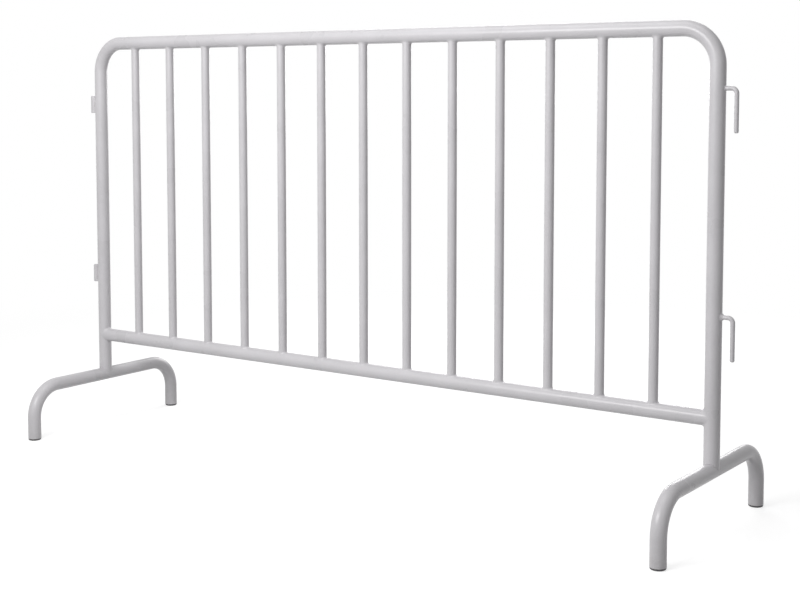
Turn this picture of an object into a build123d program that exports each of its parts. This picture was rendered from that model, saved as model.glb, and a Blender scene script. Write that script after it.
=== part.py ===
from build123d import *
import os

# A steel crowd barricade. Millimetres: X runs along it, Y from front to back, Z up from the ground.

# Bent frame and bottom rail, which share one tube
overall_height = 1100.0
post_spacing = 1845.0
tube_diameter = 35.0
tube_wall = 1.5
top_bend_radius = 80.0
bottom_rail_height = 254.5

# Pickets, with equal clear gaps between them and to the posts
picket_count = 13
picket_diameter = 22.0
picket_wall = 1.2

# Arched feet
foot_spread = 528.0
foot_height = 141.0
foot_bend_radius = 80.0

# Stub on each foot that stands inside the post
spigot_height = 100.0
spigot_wall = 2.0
spigot_lead_in = 1.0

# Plastic plugs in the foot ends
plug_flange = 5.0
plug_inset = 0.5
plug_edge_radius = 3.5
plug_stem_length = 18.0
plug_stem_wall = 2.0
plug_fin_count = 3
plug_fin_height = 1.5
plug_fin_thickness = 1.2

# Hooks on the right post and sleeves on the left one, which link a row of barricades
rod_diameter = 10.0
hook_inside_radius = 6.0
hook_tip_chamfer = 2.0
sleeve_length = 48.0
sleeve_wall = 3.0
sleeve_edge_radius = 1.5
sleeve_lead_in = 1.0
upper_link_height = 912.0
link_spacing = 482.0
hook_tail = 26.0

# Clearances
weld_gap = 0.1
seat_clearance = 0.3
spigot_clearance = 0.3
plug_clearance = 0.1
link_clearance = 2.0
hook_seat_gap = 14.5
link_air = 14.5

# Radii and heights that follow
tube_radius = tube_diameter / 2
tube_bore = tube_diameter - 2 * tube_wall
rod_radius = rod_diameter / 2
top_rail_height = overall_height - tube_radius
foot_half_spread = foot_spread / 2
spigot_diameter = tube_bore - 2 * spigot_clearance
sleeve_bore = rod_diameter + 2 * link_clearance
sleeve_diameter = sleeve_bore + 2 * sleeve_wall
sleeve_offset = tube_radius + weld_gap + sleeve_diameter / 2
hook_bend_radius = rod_radius + hook_inside_radius
hook_offset = tube_radius + link_air + sleeve_wall + link_clearance + rod_radius
hook_arm_rise = sleeve_length / 2 + hook_seat_gap + rod_radius
hook_tip_drop = sleeve_length / 2 + hook_tail

# The origin lies on the ground under the middle of the whole barricade, hooks and sleeves included
frame_shift = (sleeve_offset + sleeve_diameter / 2 - hook_offset - rod_radius) / 2
left_post = frame_shift - post_spacing / 2
right_post = frame_shift + post_spacing / 2
posts = {"left": left_post, "right": right_post}
link_heights = {"upper": upper_link_height, "lower": upper_link_height - link_spacing}

picket_gap = (post_spacing - tube_diameter - picket_count * picket_diameter) / (picket_count + 1)
picket_pitch = picket_gap + picket_diameter
first_picket = left_post + tube_radius + picket_gap + picket_diameter / 2

frame_points = [
    (left_post, 0, foot_height),
    (left_post, 0, top_rail_height),
    (right_post, 0, top_rail_height),
    (right_post, 0, foot_height),
]
rail_points = [(left_post, 0, bottom_rail_height), (right_post, 0, bottom_rail_height)]


def foot_points(post):
    return [
        (post, -foot_half_spread, plug_flange),
        (post, -foot_half_spread, foot_height),
        (post, foot_half_spread, foot_height),
        (post, foot_half_spread, plug_flange),
    ]


# A round bar along straight runs joined by bends
def bent_bar(points, diameter, bend_radius=0.0):
    path = FilletPolyline(*points, radius=bend_radius) if bend_radius else Polyline(*points)
    section = Plane(origin=path @ 0, z_dir=path % 0) * Circle(diameter / 2)
    return sweep(section, path=path)


def bent_tube(points, diameter, wall, bend_radius=0.0):
    return bent_bar(points, diameter, bend_radius) - bent_bar(points, diameter - 2 * wall, bend_radius)


# The space that a tube takes up, widened by a clearance, which copes whatever meets it
def foot_space(post, clearance):
    return bent_bar(foot_points(post), tube_diameter + 2 * clearance, foot_bend_radius)


frame_space = bent_bar(frame_points, tube_diameter + 2 * weld_gap, top_bend_radius)
rail_space = bent_bar(rail_points, tube_diameter + 2 * weld_gap)


# One bent tube, with a saddle at each end that sits over the foot
def make_frame_tube():
    frame = bent_tube(frame_points, tube_diameter, tube_wall, top_bend_radius)
    for post in posts.values():
        frame -= foot_space(post, seat_clearance)
    return frame


def make_bottom_rail():
    return bent_tube(rail_points, tube_diameter, tube_wall) - frame_space


def make_picket(place):
    ends = [(place, 0, bottom_rail_height), (place, 0, top_rail_height)]
    picket = bent_tube(ends, picket_diameter, picket_wall)
    return picket - rail_space - frame_space


def make_foot_tube(post):
    return bent_tube(foot_points(post), tube_diameter, tube_wall, foot_bend_radius)


# A tube coped onto the foot, with its top edge eased so that the post slides over it
def make_spigot(post):
    ends = [(post, 0, foot_height), (post, 0, foot_height + spigot_height)]
    bar = bent_bar(ends, spigot_diameter)
    bar = chamfer(bar.edges().sort_by(Axis.Z)[-1], spigot_lead_in)
    spigot = bar - bent_bar(ends, spigot_diameter - 2 * spigot_wall)
    return spigot - foot_space(post, weld_gap)


# A rounded flange under the foot's end and a hollow stem with fins inside it
def make_foot_plug(post, side):
    upwards = (Align.CENTER, Align.CENTER, Align.MIN)
    fin_radius = tube_bore / 2 - plug_clearance
    stem_radius = fin_radius - plug_fin_height
    fin_step = plug_stem_length / plug_fin_count
    plug = Cylinder(tube_radius - plug_inset, plug_flange, align=upwards)
    plug = fillet(plug.edges().sort_by(Axis.Z)[0], plug_edge_radius)
    plug += Pos(0, 0, plug_flange) * Cylinder(stem_radius, plug_stem_length, align=upwards)
    for fin in range(plug_fin_count):
        height = plug_flange + fin_step * (fin + 0.5) - plug_fin_thickness / 2
        plug += Pos(0, 0, height) * Cylinder(fin_radius, plug_fin_thickness, align=upwards)
    hollow = Cylinder(stem_radius - plug_stem_wall, plug_stem_length, align=upwards)
    plug -= Pos(0, 0, plug_flange) * hollow
    return Pos(post, side * foot_half_spread, 0) * plug


# A rod that leaves the right post, turns down and ends in an eased tip
def make_hook(height):
    arm = height + hook_arm_rise
    leg = right_post + hook_offset
    tip = height - hook_tip_drop
    hook = bent_bar([(right_post, 0, arm), (leg, 0, arm), (leg, 0, tip)], rod_diameter, hook_bend_radius)
    hook = chamfer(hook.edges().sort_by(Axis.Z)[0], hook_tip_chamfer)
    return hook - frame_space


# A short thick tube with rounded rims, eased where a hook drops in
def make_sleeve(height):
    centre = left_post - sleeve_offset
    ends = [(centre, 0, height - sleeve_length / 2), (centre, 0, height + sleeve_length / 2)]
    sleeve = bent_tube(ends, sleeve_diameter, sleeve_wall)
    bore_edges = sleeve.edges().filter_by(GeomType.CIRCLE).group_by(SortBy.RADIUS)[0]
    sleeve = chamfer(bore_edges, sleeve_lead_in)
    rims = sleeve.edges().filter_by(GeomType.CIRCLE).group_by(SortBy.RADIUS)[-1]
    return fillet(rims, sleeve_edge_radius)


parts = {
    "frame_tube": make_frame_tube(),
    "bottom_rail": make_bottom_rail(),
}
for number in range(picket_count):
    parts[f"picket_{number + 1:02d}"] = make_picket(first_picket + number * picket_pitch)
for name, post in posts.items():
    parts[f"{name}_foot_tube"] = make_foot_tube(post)
    parts[f"{name}_foot_spigot"] = make_spigot(post)
    parts[f"{name}_front_foot_plug"] = make_foot_plug(post, -1)
    parts[f"{name}_rear_foot_plug"] = make_foot_plug(post, 1)
for name, height in link_heights.items():
    parts[f"{name}_hook"] = make_hook(height)
    parts[f"{name}_sleeve"] = make_sleeve(height)

os.makedirs("parts", exist_ok=True)
for name, part in parts.items():
    export_step(part, f"parts/{name}.step")
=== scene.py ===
import bpy
import math
from mathutils import Matrix, Vector


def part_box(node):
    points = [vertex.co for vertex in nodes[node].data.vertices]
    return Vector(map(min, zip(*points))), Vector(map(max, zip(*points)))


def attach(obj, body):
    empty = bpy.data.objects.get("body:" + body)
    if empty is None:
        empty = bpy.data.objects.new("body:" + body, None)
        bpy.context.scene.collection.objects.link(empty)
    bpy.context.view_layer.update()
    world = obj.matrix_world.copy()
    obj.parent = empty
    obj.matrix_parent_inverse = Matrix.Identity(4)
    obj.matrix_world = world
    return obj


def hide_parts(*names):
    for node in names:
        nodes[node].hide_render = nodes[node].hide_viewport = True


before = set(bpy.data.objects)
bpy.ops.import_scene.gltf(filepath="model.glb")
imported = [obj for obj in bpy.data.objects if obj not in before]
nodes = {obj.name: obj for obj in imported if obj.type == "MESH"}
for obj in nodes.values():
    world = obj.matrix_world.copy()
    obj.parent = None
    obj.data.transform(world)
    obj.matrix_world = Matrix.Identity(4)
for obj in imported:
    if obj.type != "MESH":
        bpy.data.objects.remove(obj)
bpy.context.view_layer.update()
print("frame loaded,", len(nodes), "nodes")


# Places read off the frame, in metres

def middle(node):
    low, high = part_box(node)
    return (low + high) / 2


frameTube = {
    "radius": 0.0175, "wall": 0.0015, "bendRadius": 0.080,
    "bendSteps": 28, "sides": 72, "sharpDegrees": 40,
}
picketTube = {
    "radius": 0.011, "wall": 0.0012, "bendRadius": 0.0,
    "bendSteps": 1, "sides": 56, "sharpDegrees": 40,
}
gaps = {"weld": 0.0001, "seat": 0.0003}                      # at a weld, and where the frame lifts off

tubeRadius = frameTube["radius"]
posts = {side: middle(side + "_foot_tube").x for side in ("left", "right")}
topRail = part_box("frame_tube")[1].z - tubeRadius
bottomRail = middle("bottom_rail").z
footLow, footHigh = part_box("left_foot_tube")
footAxis = footHigh.z - tubeRadius
footReach = footHigh.y - tubeRadius
picketNodes = sorted(name for name in nodes if name.startswith("picket_"))
picketPlaces = [middle(name).x for name in picketNodes]


# One function adds a node, with its settings, and its inputs as links or values

def addNode(tree, kind, inputs=None, **settings):
    node = tree.nodes.new(kind)
    for name, value in settings.items():
        setattr(node, name, value)
    for socket, value in (inputs or {}).items():
        if isinstance(value, bpy.types.NodeSocket):
            tree.links.new(value, node.inputs[socket])
        else:
            node.inputs[socket].default_value = value
    return node


def linear(hexColour):
    channels = [int(hexColour[i:i + 2], 16) / 255 for i in (1, 3, 5)]
    return [c / 12.92 if c <= 0.04045 else ((c + 0.055) / 1.055) ** 2.4 for c in channels] + [1.0]


def perMetre(millimetres):
    return 1000 / millimetres


def newMaterial(name):
    material = bpy.data.materials.new(name)
    material.use_nodes = True
    material.node_tree.nodes.clear()
    return material, material.node_tree


# Powder-coated steel: polyester powder sprayed on dry and baked, so a half-gloss skin with a faint
# orange peel, even silver grey, slightly cloudy, and dulled by road dirt close to the ground
coat = {
    "light": "#cbc9cc", "dark": "#c1bfc2", "dirt": "#8d8986",
    "peelMm": 2.6, "peelDepthMm": 0.05, "cloudMm": 110, "toneRange": (0.35, 0.65),
    "speckMm": 1.4, "speckShare": 0.45,                      # specks drawn coarse enough to show
    "roughness": (0.25, 0.33), "shineRange": (0.3, 0.7), "ior": 1.5, "specular": 0.4,
    "dirtMm": 14, "dirtHeight": 0.09, "dirtShare": 0.35,
}
# Bare steel, where a piece that slides has scraped the coat off in upright streaks
scrape = {
    "colour": "#8e8c8b", "roughness": 0.36, "widthMm": 1.6, "lengthMm": 45, "patchMm": 26,
    "onset": (1.25, 1.40), "gain": 0.5,
    "spigots": 0.55, "links": 0.12,                          # how far the coat is gone on these pieces
}


def powderCoatedSteel(name, scraped=0.0):
    material, tree = newMaterial(name)
    place = addNode(tree, "ShaderNodeTexCoord").outputs["Object"]
    height = addNode(tree, "ShaderNodeSeparateXYZ", {0: place}).outputs["Z"]
    cloud = addNode(tree, "ShaderNodeTexNoise", {
        "Vector": place, "Scale": perMetre(coat["cloudMm"]), "Detail": 3.0}).outputs["Fac"]
    speck = addNode(tree, "ShaderNodeTexNoise", {
        "Vector": place, "Scale": perMetre(coat["speckMm"]), "Detail": 1.0}).outputs["Fac"]
    mixed = addNode(tree, "ShaderNodeMix", {0: coat["speckShare"], 2: cloud, 3: speck})
    lowTone, highTone = coat["toneRange"]
    tone = addNode(tree, "ShaderNodeMapRange", {
        "Value": mixed.outputs[0], "From Min": lowTone, "From Max": highTone})
    body = addNode(tree, "ShaderNodeMix", {
        0: tone.outputs[0], 6: linear(coat["dark"]), 7: linear(coat["light"])}, data_type="RGBA")
    nearGround = addNode(tree, "ShaderNodeMapRange", {
        "Value": height, "From Min": 0.0, "From Max": coat["dirtHeight"],
        "To Min": coat["dirtShare"], "To Max": 0.0})
    patches = addNode(tree, "ShaderNodeTexNoise", {
        "Vector": place, "Scale": perMetre(coat["dirtMm"]), "Detail": 4.0}).outputs["Fac"]
    dirt = addNode(tree, "ShaderNodeMath", {0: nearGround.outputs[0], 1: patches}, operation="MULTIPLY")
    painted = addNode(tree, "ShaderNodeMix", {
        0: dirt.outputs[0], 6: body.outputs[2], 7: linear(coat["dirt"])}, data_type="RGBA")
    smooth, dull = coat["roughness"]
    lowShine, highShine = coat["shineRange"]
    shine = addNode(tree, "ShaderNodeMapRange", {
        "Value": cloud, "From Min": lowShine, "From Max": highShine, "To Min": smooth, "To Max": dull})
    peel = addNode(tree, "ShaderNodeTexNoise", {
        "Vector": place, "Scale": perMetre(coat["peelMm"]), "Detail": 2.0})
    bump = addNode(tree, "ShaderNodeBump", {
        "Strength": 1.0, "Distance": coat["peelDepthMm"] / 1000, "Height": peel.outputs["Fac"]})
    surface = addNode(tree, "ShaderNodeBsdfPrincipled", {
        "Base Color": painted.outputs[2], "Roughness": shine.outputs[0], "IOR": coat["ior"],
        "Specular IOR Level": coat["specular"], "Normal": bump.outputs[0]})
    if scraped:
        across, along = perMetre(scrape["widthMm"]), perMetre(scrape["lengthMm"])
        drawn = addNode(tree, "ShaderNodeVectorMath", {
            0: place, 1: (across, across, along)}, operation="MULTIPLY")
        streaks = addNode(tree, "ShaderNodeTexNoise", {
            "Vector": drawn.outputs[0], "Scale": 1.0, "Detail": 3.0})
        rubbed = addNode(tree, "ShaderNodeTexNoise", {
            "Vector": place, "Scale": perMetre(scrape["patchMm"]), "Detail": 2.0})
        depth = addNode(tree, "ShaderNodeMath", {0: streaks.outputs["Fac"], 1: rubbed.outputs["Fac"]})
        starts, ends = [edge - scrape["gain"] * scraped for edge in scrape["onset"]]
        bare = addNode(tree, "ShaderNodeMapRange", {
            "Value": depth.outputs[0], "From Min": starts, "From Max": ends}).outputs[0]
        colour = addNode(tree, "ShaderNodeMix", {
            0: bare, 6: painted.outputs[2], 7: linear(scrape["colour"])}, data_type="RGBA")
        worn = addNode(tree, "ShaderNodeMix", {0: bare, 2: shine.outputs[0], 3: scrape["roughness"]})
        tree.links.new(colour.outputs[2], surface.inputs["Base Color"])
        tree.links.new(worn.outputs[0], surface.inputs["Roughness"])
        tree.links.new(bare, surface.inputs["Metallic"])
    addNode(tree, "ShaderNodeOutputMaterial", {"Surface": surface.outputs[0]})
    return material


# Moulded polyethylene: dull dark grey with a faint grain off the mould, scuffed and dusty from the ground
plug = {
    "colour": "#535254", "dust": "#7a7674", "dustShare": 0.5, "scuffMm": 6, "scuffRange": (0.45, 0.75),
    "grainMm": 0.8, "grainDepthMm": 0.03, "roughness": 0.62,
}


def mouldedPolyethylene():
    material, tree = newMaterial("mouldedPolyethylene")
    place = addNode(tree, "ShaderNodeTexCoord").outputs["Object"]
    scuff = addNode(tree, "ShaderNodeTexNoise", {
        "Vector": place, "Scale": perMetre(plug["scuffMm"]), "Detail": 5.0})
    lowScuff, highScuff = plug["scuffRange"]
    share = addNode(tree, "ShaderNodeMapRange", {
        "Value": scuff.outputs["Fac"], "From Min": lowScuff, "From Max": highScuff,
        "To Max": plug["dustShare"]})
    colour = addNode(tree, "ShaderNodeMix", {
        0: share.outputs[0], 6: linear(plug["colour"]), 7: linear(plug["dust"])}, data_type="RGBA")
    grain = addNode(tree, "ShaderNodeTexNoise", {
        "Vector": place, "Scale": perMetre(plug["grainMm"]), "Detail": 2.0})
    bump = addNode(tree, "ShaderNodeBump", {
        "Strength": 1.0, "Distance": plug["grainDepthMm"] / 1000, "Height": grain.outputs["Fac"]})
    surface = addNode(tree, "ShaderNodeBsdfPrincipled", {
        "Base Color": colour.outputs[2], "Roughness": plug["roughness"], "Normal": bump.outputs[0]})
    addNode(tree, "ShaderNodeOutputMaterial", {"Surface": surface.outputs[0]})
    return material


steelCoat = powderCoatedSteel("powderCoatedSteel")
scrapedCoat = powderCoatedSteel("scrapedCoat", scrape["spigots"])
rubbedCoat = powderCoatedSteel("rubbedCoat", scrape["links"])
finishes = {"plug": mouldedPolyethylene(), "spigot": scrapedCoat, "hook": rubbedCoat, "sleeve": rubbedCoat}
for name, node in nodes.items():
    node.data.materials.clear()
    node.data.materials.append(finishes.get(name.split("_")[-1], steelCoat))
print("materials made")


# Tubes: a path of straight runs, rounded at its corners and swept by Geometry Nodes, then given its wall

def groupInput(tree, name, kind):
    tree.interface.new_socket(name, in_out="INPUT", socket_type="NodeSocket" + kind)


def bentTubeTree():
    tree = bpy.data.node_groups.new("bentTube", "GeometryNodeTree")
    groupInput(tree, "Path", "Geometry")
    for name, kind in (("Radius", "Float"), ("Bend radius", "Float"), ("Bend steps", "Int"), ("Sides", "Int"),
                       ("Finish", "Material")):
        groupInput(tree, name, kind)
    tree.interface.new_socket("Tube", in_out="OUTPUT", socket_type="NodeSocketGeometry")
    given = addNode(tree, "NodeGroupInput").outputs
    path = addNode(tree, "GeometryNodeMeshToCurve", {"Mesh": given["Path"]})
    bends = addNode(tree, "GeometryNodeFilletCurve", {
        "Curve": path.outputs[0], "Count": given["Bend steps"], "Radius": given["Bend radius"]}, mode="POLY")
    ring = addNode(tree, "GeometryNodeCurvePrimitiveCircle", {
        "Resolution": given["Sides"], "Radius": given["Radius"]})
    skin = addNode(tree, "GeometryNodeCurveToMesh", {
        "Curve": bends.outputs[0], "Profile Curve": ring.outputs[0]})
    whole = addNode(tree, "GeometryNodeRealizeInstances", {"Geometry": skin.outputs[0]})
    finish = addNode(tree, "GeometryNodeSetMaterial", {
        "Geometry": whole.outputs[0], "Material": given["Finish"]})
    addNode(tree, "NodeGroupOutput", {"Tube": finish.outputs[0]})
    return tree


def pathObject(name, paths):
    points, edges = [], []
    for path in paths:
        first = len(points)
        points += path
        edges += [(first + i, first + i + 1) for i in range(len(path) - 1)]
    mesh = bpy.data.meshes.new(name)
    mesh.from_pydata(points, edges, [])
    thing = bpy.data.objects.new(name, mesh)
    bpy.context.scene.collection.objects.link(thing)
    return thing


def growNodes(thing, tree, values):
    modifier = thing.modifiers.new("grow", "NODES")
    modifier.node_group = tree
    for item in tree.interface.items_tree:
        if item.in_out == "INPUT" and item.name in values:
            modifier[item.identifier] = values[item.name]


def settle(thing, sharpDegrees):
    shape = bpy.data.meshes.new_from_object(thing.evaluated_get(bpy.context.evaluated_depsgraph_get()))
    thing.modifiers.clear()
    thing.data = shape
    shape.name = thing.name
    shape.shade_smooth()
    shape.set_sharp_from_angle(angle=math.radians(sharpDegrees))


bentTube = bentTubeTree()


def makeTube(name, paths, size):
    thing = pathObject(name, paths)
    growNodes(thing, bentTube, {
        "Radius": size["radius"], "Bend radius": size["bendRadius"], "Bend steps": size["bendSteps"],
        "Sides": size["sides"], "Finish": steelCoat})
    wall = thing.modifiers.new("wall", "SOLIDIFY")
    wall.thickness = size["wall"]
    wall.offset = -1                                         # inwards
    settle(thing, size["sharpDegrees"])
    return thing


xAxis, yAxis, zAxis = 0, 1, 2


# Trims a tube's end to the round tube that it meets: side is 1 at its low end and -1 at its high end
def cope(thing, along, across, centre, radius, side):
    for vertex in thing.data.vertices:
        offset = vertex.co[across] - centre[across]
        edge = centre[along] + side * math.sqrt(max(radius ** 2 - offset ** 2, 0))
        if side * (vertex.co[along] - edge) < 0:
            vertex.co[along] = edge


def dress(thing, body, slot, *replaced):
    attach(thing, body)
    if replaced:
        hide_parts(*replaced)


steelSlot = "powder_coated_steel"
left, right = posts["left"], posts["right"]

hoopPath = [(left, 0, footAxis), (left, 0, topRail), (right, 0, topRail), (right, 0, footAxis)]
hoop = makeTube("frame_hoop", [hoopPath], frameTube)
for post in posts.values():
    cope(hoop, zAxis, xAxis, (post, 0, footAxis), tubeRadius + gaps["seat"], 1)
dress(hoop, "frame", steelSlot, "frame_tube")

rail = makeTube("lower_rail", [[(left, 0, bottomRail), (right, 0, bottomRail)]], frameTube)
cope(rail, xAxis, yAxis, (left, 0, bottomRail), tubeRadius + gaps["weld"], 1)
cope(rail, xAxis, yAxis, (right, 0, bottomRail), tubeRadius + gaps["weld"], -1)
dress(rail, "frame", steelSlot, "bottom_rail")

pickets = makeTube("pickets", [[(x, 0, bottomRail), (x, 0, topRail)] for x in picketPlaces], picketTube)
cope(pickets, zAxis, yAxis, (0, 0, bottomRail), tubeRadius + gaps["weld"], 1)
cope(pickets, zAxis, yAxis, (0, 0, topRail), tubeRadius + gaps["weld"], -1)
dress(pickets, "frame", steelSlot, *picketNodes)

for side, post in posts.items():
    archPath = [(post, -footReach, footLow.z), (post, -footReach, footAxis),
                (post, footReach, footAxis), (post, footReach, footLow.z)]
    arch = makeTube(side + "_arch", [archPath], frameTube)
    dress(arch, side + "_foot", steelSlot, side + "_foot_tube")
print("tubes made")


# Welds: a fillet round each joint, given the ripple and grain of a bead under paint by Geometry Nodes
bead = {
    "rippleMm": 2.4, "rippleDepthMm": 0.10, "grainMm": 4.0, "grainDepthMm": 0.30,
    "steps": 120, "facets": 7, "hollow": 0.45, "sharpDegrees": 60,
    "bite": 0.0004,                                          # how deep its edges and root lie in the walls
}
legs = {
    "picket": 0.0034, "rail": 0.0040,
    "upper_hook": 0.0022, "lower_hook": 0.0048,              # the lower hook has the heavier bead
}
hookRod = {"radius": 0.005}
sleeveTube = {"radius": 0.010}
seam = {
    "reach": 0.0062, "rows": 60, "inset": 0.003, "taper": 0.22,
    "endShare": 0.2, "rootShare": 0.4,                       # width left at its ends, depth of its root
}


def weldTree():
    tree = bpy.data.node_groups.new("weldSurface", "GeometryNodeTree")
    groupInput(tree, "Fillet", "Geometry")
    for name, kind in (("Ripple pitch", "Float"), ("Ripple depth", "Float"), ("Grain", "Float"),
                       ("Grain depth", "Float"), ("Finish", "Material")):
        groupInput(tree, name, kind)
    tree.interface.new_socket("Weld", in_out="OUTPUT", socket_type="NodeSocketGeometry")
    given = addNode(tree, "NodeGroupInput").outputs
    along = addNode(tree, "GeometryNodeInputNamedAttribute", {"Name": "along"}, data_type="FLOAT").outputs[0]
    turns = addNode(tree, "ShaderNodeMath", {0: along, 1: given["Ripple pitch"]}, operation="DIVIDE")
    phase = addNode(tree, "ShaderNodeMath", {0: turns.outputs[0], 1: math.tau}, operation="MULTIPLY")
    wave = addNode(tree, "ShaderNodeMath", {0: phase.outputs[0]}, operation="SINE")
    ripple = addNode(tree, "ShaderNodeMath", {
        0: wave.outputs[0], 1: given["Ripple depth"]}, operation="MULTIPLY")
    scale = addNode(tree, "ShaderNodeMath", {0: 1.0, 1: given["Grain"]}, operation="DIVIDE")
    noise = addNode(tree, "ShaderNodeTexNoise", {"Scale": scale.outputs[0], "Detail": 2.0})
    centred = addNode(tree, "ShaderNodeMath", {0: noise.outputs["Fac"], 1: 0.5}, operation="SUBTRACT")
    lift = addNode(tree, "ShaderNodeMath", {
        0: centred.outputs[0], 1: given["Grain depth"], 2: ripple.outputs[0]}, operation="MULTIPLY_ADD")
    outwards = addNode(tree, "GeometryNodeInputNormal").outputs["Normal"]
    shift = addNode(tree, "ShaderNodeVectorMath", {0: outwards, "Scale": lift.outputs[0]}, operation="SCALE")
    rough = addNode(tree, "GeometryNodeSetPosition", {
        "Geometry": given["Fillet"], "Offset": shift.outputs[0]})
    whole = addNode(tree, "GeometryNodeRealizeInstances", {"Geometry": rough.outputs[0]})
    finish = addNode(tree, "GeometryNodeSetMaterial", {
        "Geometry": whole.outputs[0], "Material": given["Finish"]})
    addNode(tree, "NodeGroupOutput", {"Weld": finish.outputs[0]})
    return tree


weldSurface = weldTree()


# Makes one mesh of several bands, each a row of like cross-sections, that close on themselves or get caps
def makeWeld(name, bands, closed):
    points, faces, along = [], [], []
    for band in bands:
        first, count, travelled = len(points), len(band[0]), 0.0
        for number, section in enumerate(band):
            if number:
                travelled += (section[0] - band[number - 1][0]).length
            points += section
            along += [travelled] * count
        rows = len(band) if closed else len(band) - 1
        for row in range(rows):
            here, there = first + row * count, first + (row + 1) % len(band) * count
            for i in range(count):
                j = (i + 1) % count
                faces.append((here + i, here + j, there + j, there + i))
        if not closed:
            faces.append(tuple(reversed(range(first, first + count))))
            faces.append(tuple(range(first + (len(band) - 1) * count, first + len(band) * count)))
    mesh = bpy.data.meshes.new(name)
    mesh.from_pydata(points, [], faces)
    mesh.attributes.new("along", "FLOAT", "POINT").data.foreach_set("value", along)
    thing = bpy.data.objects.new(name, mesh)
    bpy.context.scene.collection.objects.link(thing)
    growNodes(thing, weldSurface, {
        "Ripple pitch": bead["rippleMm"] / 1000, "Ripple depth": bead["rippleDepthMm"] / 1000,
        "Grain": bead["grainMm"] / 1000, "Grain depth": bead["grainDepthMm"] / 1000, "Finish": steelCoat})
    settle(thing, bead["sharpDegrees"])
    dress(thing, "frame", steelSlot)


# A fillet's section between two points on the surfaces, hollowed towards the corner, its root inside them
def filletSection(start, end, corner, startInside, endInside):
    bend = corner.lerp((start + end) / 2, 1 - bead["hollow"])
    section = [start + startInside * bead["bite"]]
    for number in range(bead["facets"] + 1):
        t = number / bead["facets"]
        section.append(start * (1 - t) ** 2 + bend * 2 * t * (1 - t) + end * t ** 2)
    section.append(end + endInside * bead["bite"])
    section.append(corner + (startInside + endInside) * bead["bite"])
    return section


leastRise = 0.0001                                           # where a branch is as wide as its tube


# The fillet where a branch stands on a frame tube: Z runs along the branch, X along the frame tube
def saddleFillet(branch, leg, place, turnDegrees, turnAxis):
    matrix = Matrix.Translation(place) @ Matrix.Rotation(math.radians(turnDegrees), 4, turnAxis)
    band = []
    for step in range(bead["steps"]):
        angle = math.tau * step / bead["steps"]
        outOfBranch = Vector((math.cos(angle), math.sin(angle), 0))
        corner = outOfBranch * branch
        corner.z = math.sqrt(max(tubeRadius ** 2 - corner.y ** 2, leastRise ** 2))
        outOfTube = Vector((0, corner.y, corner.z)) / tubeRadius
        overlap = outOfBranch.dot(outOfTube)
        width = leg * math.sqrt(1 - overlap ** 2)
        alongBranch = (outOfTube - outOfBranch * overlap).normalized()
        alongTube = (outOfBranch - outOfTube * overlap).normalized()
        start = corner + alongBranch * width
        start.xy = start.xy.normalized() * branch
        end = corner + alongTube * width
        end.yz = end.yz.normalized() * tubeRadius
        section = filletSection(start, end, corner, -outOfBranch, -outOfTube)
        band.append([matrix @ point for point in section])
    return band


bands = [saddleFillet(picketTube["radius"], legs["picket"], (x, 0, bottomRail), 0, "X") for x in picketPlaces]
bands += [saddleFillet(picketTube["radius"], legs["picket"], (x, 0, topRail), 180, "X") for x in picketPlaces]
makeWeld("picket_welds", bands, True)

railRadius = tubeRadius - gaps["weld"]
bands = [saddleFillet(railRadius, legs["rail"], (left, 0, bottomRail), 90, "Y"),
         saddleFillet(railRadius, legs["rail"], (right, 0, bottomRail), -90, "Y")]
makeWeld("rail_welds", bands, True)

bands = []
for name in ("upper_hook", "lower_hook"):
    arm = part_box(name)[1].z - hookRod["radius"]
    bands.append(saddleFillet(hookRod["radius"], legs[name], (right, 0, arm), 90, "Y"))
makeWeld("hook_welds", bands, True)


# A seam down each side of a sleeve, which fills the groove between it and the post
def sleeveSeam(node, side):
    low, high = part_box(node)
    post, sleeve = Vector((left, 0, 0)), Vector(((low.x + high.x) / 2, 0, 0))
    touch = (post + Vector((-tubeRadius, 0, 0)) + sleeve + Vector((sleeveTube["radius"], 0, 0))) / 2
    band = []
    for row in range(seam["rows"] + 1):
        share = row / seam["rows"]
        height = low.z + seam["inset"] + (high.z - low.z - 2 * seam["inset"]) * share
        rise = min(1.0, share / seam["taper"], (1 - share) / seam["taper"])
        rise = rise * rise * (3 - 2 * rise)                  # fades out at both ends
        width = seam["reach"] * (seam["endShare"] + (1 - seam["endShare"]) * rise)
        onPost = Vector((left - math.sqrt(tubeRadius ** 2 - width ** 2), side * width, 0))
        onSleeve = Vector((sleeve.x + math.sqrt(sleeveTube["radius"] ** 2 - width ** 2), side * width, 0))
        root = touch + Vector((0, side * width * seam["rootShare"], 0))
        intoPost, intoSleeve = (post - onPost).normalized(), (sleeve - onSleeve).normalized()
        section = filletSection(onPost, onSleeve, root, intoPost, intoSleeve)
        section = section[::side]                            # so that faces point outwards on both sides
        band.append([point + Vector((0, 0, height)) for point in section])
    return band


bands = [sleeveSeam(node, side) for node in ("upper_sleeve", "lower_sleeve") for side in (-1, 1)]
makeWeld("sleeve_welds", bands, False)
print("welds made")


# Camera at the photograph's viewing angle, in an 800 by 600 picture
view = {"place": (2.083, -2.8265, 0.9488), "turn": 34.97, "tilt": 4.385, "lens": 63.97, "shift": -0.1244}
camera = bpy.data.cameras.new("camera")
camera.lens = view["lens"]
camera.shift_y = view["shift"]
cameraObject = bpy.data.objects.new("camera", camera)
cameraObject.location = view["place"]
cameraObject.rotation_euler = (math.radians(90 - view["tilt"]), 0, math.radians(view["turn"]))
bpy.context.scene.collection.objects.link(cameraObject)
bpy.context.scene.camera = cameraObject

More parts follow.
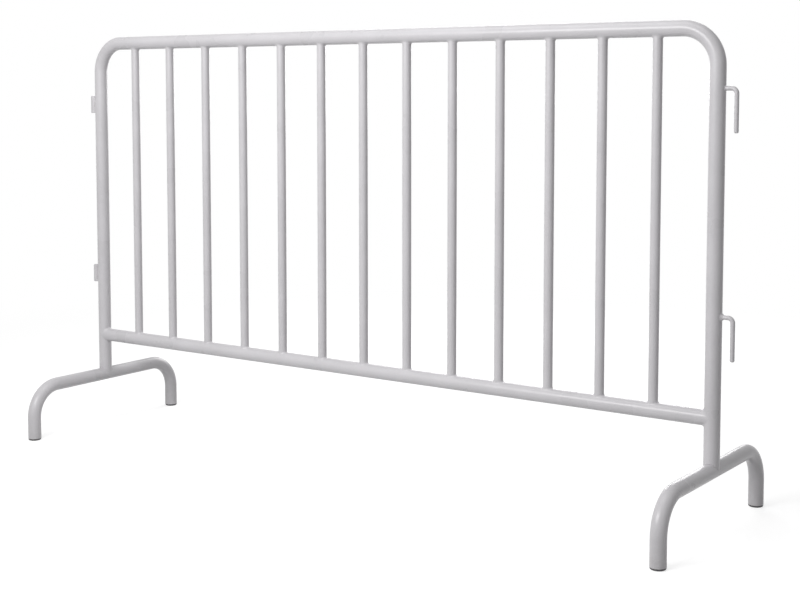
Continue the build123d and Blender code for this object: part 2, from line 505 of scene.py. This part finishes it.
# Studio: pale floor, soft lamps, and a white surround that only the camera and reflections see
studio = {"floorSize": 60.0, "floorBounce": "#bcbcbc", "floorShade": 0.35, "floorGain": 1.5,
          "fadeFrom": 1.4, "fadeTo": 3.2, "ambient": 0.32}
lamps = {
    "key": {"place": (-0.1, -2.2, 1.65), "aim": (0.1, 0, 0.8), "size": (1.8, 0.8), "watts": 48},
    "top": {"place": (0.1, -0.5, 2.9), "aim": (0.1, 0, 0.5), "size": (2.4, 1.0), "watts": 14},
    "back": {"place": (-0.9, 2.6, 1.5), "aim": (0, 0, 0.6), "size": (2.0, 1.4), "watts": 36},
}


def seenDirectly(tree):
    rays = addNode(tree, "ShaderNodeLightPath").outputs
    mirrored = addNode(tree, "ShaderNodeMath", {
        0: rays["Is Camera Ray"], 1: rays["Is Glossy Ray"]}, operation="MAXIMUM")
    return addNode(tree, "ShaderNodeMath", {
        0: mirrored.outputs[0], 1: rays["Is Transmission Ray"]}, operation="MAXIMUM").outputs[0]


def makeFloor():
    material, tree = newMaterial("studioFloor")
    place = addNode(tree, "ShaderNodeTexCoord").outputs["Object"]
    away = addNode(tree, "ShaderNodeVectorMath", {0: place}, operation="LENGTH").outputs["Value"]
    near = addNode(tree, "ShaderNodeMapRange", {
        "Value": away, "From Min": studio["fadeFrom"], "From Max": studio["fadeTo"],
        "To Min": studio["floorShade"], "To Max": 0.0}, interpolation_type="SMOOTHSTEP").outputs[0]
    glow = addNode(tree, "ShaderNodeMath", {0: 1.0, 1: near}, operation="SUBTRACT")
    white = addNode(tree, "ShaderNodeEmission", {"Strength": glow.outputs[0]})
    pale = addNode(tree, "ShaderNodeMath", {0: near, 1: studio["floorGain"]}, operation="MULTIPLY")
    shade = addNode(tree, "ShaderNodeBsdfDiffuse", {"Color": pale.outputs[0]})
    shown = addNode(tree, "ShaderNodeAddShader", {0: white.outputs[0], 1: shade.outputs[0]})
    bounce = addNode(tree, "ShaderNodeBsdfDiffuse", {"Color": linear(studio["floorBounce"])})
    both = addNode(tree, "ShaderNodeMixShader", {
        0: seenDirectly(tree), 1: bounce.outputs[0], 2: shown.outputs[0]})
    addNode(tree, "ShaderNodeOutputMaterial", {"Surface": both.outputs[0]})
    half = studio["floorSize"] / 2
    corners = [(-half, -half, 0), (half, -half, 0), (half, half, 0), (-half, half, 0)]
    mesh = bpy.data.meshes.new("studio_floor")
    mesh.from_pydata(corners, [], [(0, 1, 2, 3)])
    mesh.materials.append(material)
    floor = bpy.data.objects.new("studio_floor", mesh)
    bpy.context.scene.collection.objects.link(floor)


def makeSurround():
    world = bpy.data.worlds.new("surround")
    world.use_nodes = True
    tree = world.node_tree
    tree.nodes.clear()
    light = addNode(tree, "ShaderNodeBackground", {"Color": (1, 1, 1, 1), "Strength": studio["ambient"]})
    white = addNode(tree, "ShaderNodeBackground", {"Color": (1, 1, 1, 1), "Strength": 1.0})
    both = addNode(tree, "ShaderNodeMixShader", {
        0: seenDirectly(tree), 1: light.outputs[0], 2: white.outputs[0]})
    addNode(tree, "ShaderNodeOutputWorld", {"Surface": both.outputs[0]})
    bpy.context.scene.world = world


def makeLamp(name, lamp):
    light = bpy.data.lights.new(name, "AREA")
    light.shape = "RECTANGLE"
    light.size, light.size_y = lamp["size"]
    light.energy = lamp["watts"]
    thing = bpy.data.objects.new(name, light)
    thing.location = lamp["place"]
    towards = Vector(lamp["aim"]) - Vector(lamp["place"])
    thing.rotation_euler = towards.to_track_quat("-Z", "Y").to_euler()
    thing.visible_camera = False
    bpy.context.scene.collection.objects.link(thing)


makeFloor()
makeSurround()
for name, lamp in lamps.items():
    makeLamp(name, lamp)
bpy.context.scene.view_settings.view_transform = "Standard"
print("studio made")
